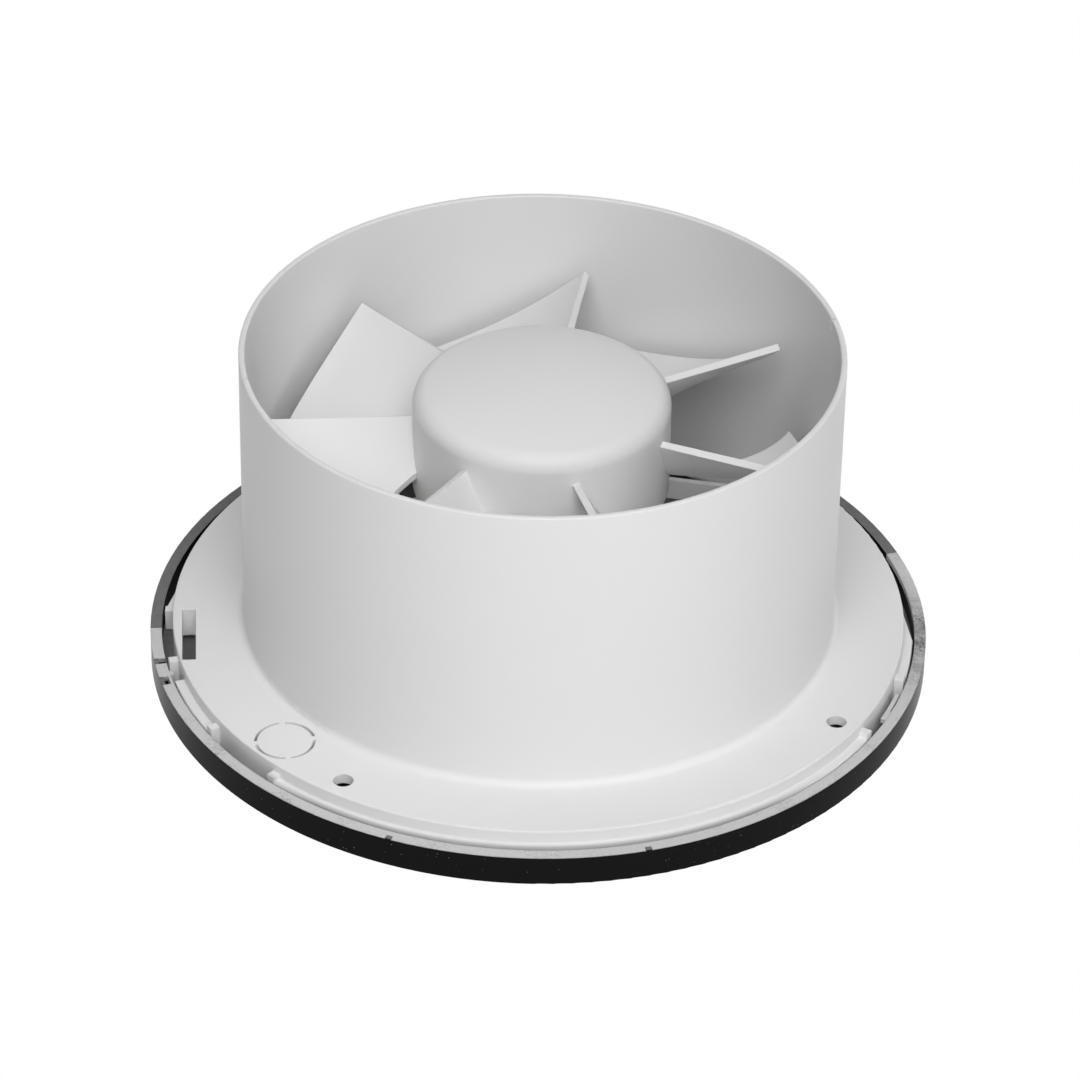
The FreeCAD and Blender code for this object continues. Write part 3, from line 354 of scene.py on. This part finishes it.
def coil_tape():
    """Yellow tape wound round the coil in overlapping turns."""
    paint = Paint("coil_tape", (0.62, 0.45, 0.10), 0.35)
    turns = ((paint.axis("X") + paint.axis("Y")) * 0.22).math("FRACT")
    paint.bump(turns, 0.12)
    paint.stain((0.45, 0.27, 0.05), turns.band(0.85, 1.0) * 0.6)


def moulded(name, colour, roughness):
    """Plain plastic of a small inner piece."""
    paint = Paint(name, colour, roughness)
    paint.roughness(paint.noise(5.0) * SHINE_VARIES + roughness)


def make_materials(looks):
    """One material for every slot of the record."""
    white_plastic(looks)
    clip_plastic(looks)
    black_plastic(looks)
    laminated_steel()
    for name, (colour, roughness) in METALS.items():
        metal(name, colour, roughness)
    felt()
    coil_tape()
    for name, (colour, roughness) in MOULDINGS.items():
        moulded(name, colour, roughness)


# Pieces

def smooth_skin(node, body):
    """Copy of a CAD node with merged points, smooth faces and sharp corners."""
    source = frame["nodes"][node]
    mesh = bpy.data.meshes.new(node + "_skin")
    bm = bmesh.new()
    bm.from_mesh(source.data)
    bm.transform(source.matrix_world)
    bmesh.ops.remove_doubles(bm, verts=bm.verts, dist=MERGE)
    for face in bm.faces:
        face.smooth = True
        face.material_index = 0
    for edge in bm.edges:
        edge.smooth = edge.is_manifold and edge.calc_face_angle() < SHARP_EDGE
    bm.to_mesh(mesh)
    bm.free()
    piece = bpy.data.objects.new(node + "_skin", mesh)
    bpy.context.scene.collection.objects.link(piece)
    weighted = piece.modifiers.new("Even faces", "WEIGHTED_NORMAL")
    weighted.keep_sharp = True
    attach(piece, body)
    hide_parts(node)
    return piece


def dress(body, *nodes):
    """Give nodes of one body their smooth skins and the materials of their slots."""
    slots = {entry["node"]: entry["material_slot"] for entry in frame["record"]["subparts"]}
    for node in nodes:
        piece = smooth_skin(node, body)
        piece.data.materials.append(bpy.data.materials[LOOK + slots[node]])


class FAN_OT_materials(bpy.types.Operator):
    """Make the materials"""

    bl_idname = "fan.materials"
    bl_label = "Materials"

    def execute(self, context):
        make_materials(context.scene.fan_looks)
        return {"FINISHED"}


class FAN_OT_housing(bpy.types.Operator):
    """Dress the white housing"""

    bl_idname = "fan.housing"
    bl_label = "Housing"

    def execute(self, context):
        dress("base", "housing")
        return {"FINISHED"}


class FAN_OT_cover(bpy.types.Operator):
    """Dress the front cover and its clip ring"""

    bl_idname = "fan.cover"
    bl_label = "Front cover"

    def execute(self, context):
        dress("cover", "front_cover", "clip_ring")
        return {"FINISHED"}


class FAN_OT_impeller(bpy.types.Operator):
    """Dress the impeller and its clip"""

    bl_idname = "fan.impeller"
    bl_label = "Impeller"

    def execute(self, context):
        dress("rotor", "impeller", "impeller_clip")
        return {"FINISHED"}


class FAN_OT_motor(bpy.types.Operator):
    """Dress the motor"""

    bl_idname = "fan.motor"
    bl_label = "Motor"

    def execute(self, context):
        dress("rotor", "motor_shaft", "rotor_core", "rotor_cage", "thrust_collars")
        dress("base", "stator_stack", "shading_rings", "coil_bobbin", "coil_winding")
        dress("base", "front_bracket", "rear_bracket", "front_bearing", "rear_bearing")
        dress("base", "bearing_retainers", "oil_felts", "motor_screws")
        return {"FINISHED"}


class FAN_OT_wiring(bpy.types.Operator):
    """Dress the wiring compartment"""

    bl_idname = "fan.wiring"
    bl_label = "Wiring"

    def execute(self, context):
        dress("base", "terminal_block", "terminal_clamps", "terminal_screws")
        dress("base", "terminal_cover", "terminal_cover_screw")
        dress("base", "cable_clamp", "cable_clamp_screws")
        dress("base", "motor_lead_live", "motor_lead_neutral")
        return {"FINISHED"}


# Stage

def on_sphere(aim, distance, azimuth, elevation):
    """Point round the target: azimuth from the camera's side to the right."""
    level = distance * math.cos(elevation)
    offset = (level * math.sin(azimuth), -level * math.cos(azimuth), distance * math.sin(elevation))
    return Vector(aim) + Vector(offset)


def facing(place, aim, roll=0.0):
    """Matrix at a place, looking at a target along its own -Z, with Y up."""
    turn = (Vector(aim) - place).to_track_quat("-Z", "Y").to_matrix().to_4x4()
    return Matrix.Translation(place) @ turn @ Matrix.Rotation(roll, 4, "Z")


def add_camera(stage):
    """Camera that matches the photograph's view."""
    data = bpy.data.cameras.new("camera")
    data.lens = stage.lens
    data.sensor_width = SENSOR_WIDTH
    data.clip_end = VIEW_LIMIT
    camera = bpy.data.objects.new("camera", data)
    place = on_sphere(stage.aim, stage.distance, 0.0, stage.elevation)
    camera.matrix_world = facing(place, stage.aim, stage.roll)
    bpy.context.scene.collection.objects.link(camera)
    bpy.context.scene.camera = camera


def add_light(name, stage, azimuth, elevation, power):
    """Square softbox that faces the fan."""
    data = bpy.data.lights.new(name, "AREA")
    data.energy = power
    data.size = stage.softbox
    light = bpy.data.objects.new(name, data)
    place = on_sphere(stage.aim, stage.reach, math.radians(azimuth), math.radians(elevation))
    light.matrix_world = facing(place, stage.aim)
    bpy.context.scene.collection.objects.link(light)


def set_world(ambient):
    """Even white surroundings for the camera and in reflections, soft ambient light for the rest."""
    world = bpy.data.worlds.new("surroundings")
    nodes = Nodes(world)
    shown = nodes.add("ShaderNodeBackground", {}, {"Color": WHITE, "Strength": 1.0})
    lit = nodes.add("ShaderNodeBackground", {}, {"Color": WHITE, "Strength": ambient})
    nodes.show(shown, lit)
    bpy.context.scene.world = world


def floor_material(shade):
    """White from above, clear from below and matt to the light that it throws back."""
    material = bpy.data.materials.new("floor_white")
    nodes = Nodes(material)
    matt = nodes.add("ShaderNodeBsdfDiffuse", {}, {"Color": (shade, shade, shade, 1.0)})
    below = nodes.add("ShaderNodeNewGeometry", {}, {}, "Backfacing")
    glow = nodes.add("ShaderNodeEmission", {}, {"Color": WHITE, "Strength": 1.0})
    clear = nodes.add("ShaderNodeBsdfTransparent", {}, {})
    nodes.show(nodes.add("ShaderNodeMixShader", {}, {0: below, 1: glow, 2: clear}), matt)
    return material


def add_floor(stage):
    """Wide floor, a little below the fan."""
    bm = bmesh.new()
    bmesh.ops.create_grid(bm, x_segments=1, y_segments=1, size=stage.floor_half)
    bmesh.ops.translate(bm, verts=bm.verts, vec=(0.0, 0.0, -stage.floor_drop))
    mesh = bpy.data.meshes.new("floor")
    bm.to_mesh(mesh)
    bm.free()
    mesh.materials.append(floor_material(stage.floor_shade))
    floor = bpy.data.objects.new("floor", mesh)
    bpy.context.scene.collection.objects.link(floor)


class FAN_OT_stage(bpy.types.Operator):
    """Set camera, lights, floor and surroundings"""

    bl_idname = "fan.stage"
    bl_label = "Stage"

    def execute(self, context):
        stage = context.scene.fan_stage
        context.scene.view_settings.view_transform = "Standard"
        add_camera(stage)
        for name, (azimuth, elevation, power) in LIGHTS.items():
            add_light(name, stage, azimuth, elevation, power)
        set_world(stage.ambient)
        add_floor(stage)
        return {"FINISHED"}


# Panel

STEPS = (
    FAN_OT_materials,
    FAN_OT_housing,
    FAN_OT_cover,
    FAN_OT_impeller,
    FAN_OT_motor,
    FAN_OT_wiring,
    FAN_OT_stage,
)


class FAN_PT_panel(bpy.types.Panel):
    """Fan's settings and steps"""

    bl_idname = "FAN_PT_panel"
    bl_label = "Duct fan"
    bl_space_type = "VIEW_3D"
    bl_region_type = "UI"
    bl_category = "Fan"

    def draw(self, context):
        for group in (context.scene.fan_looks, context.scene.fan_stage):
            for name in group.bl_rna.properties.keys():
                if name not in ("rna_type", "name"):
                    self.layout.prop(group, name)
        for step in STEPS:
            self.layout.operator(step.bl_idname)


CLASSES = (FanLooks, FanStage, *STEPS, FAN_PT_panel)


def register():
    """Add the classes and the scene's settings."""
    for entry in CLASSES:
        bpy.utils.register_class(entry)
    bpy.types.Scene.fan_looks = bpy.props.PointerProperty(type=FanLooks)
    bpy.types.Scene.fan_stage = bpy.props.PointerProperty(type=FanStage)


def unregister():
    """Take the settings and the classes away."""
    del bpy.types.Scene.fan_looks
    del bpy.types.Scene.fan_stage
    for entry in reversed(CLASSES):
        bpy.utils.unregister_class(entry)


def main():
    """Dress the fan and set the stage."""
    register()
    bpy.ops.fan.materials()
    bpy.ops.fan.housing()
    bpy.ops.fan.cover()
    bpy.ops.fan.impeller()
    bpy.ops.fan.motor()
    bpy.ops.fan.wiring()
    bpy.ops.fan.stage()


if __name__ == "__main__":
    main()
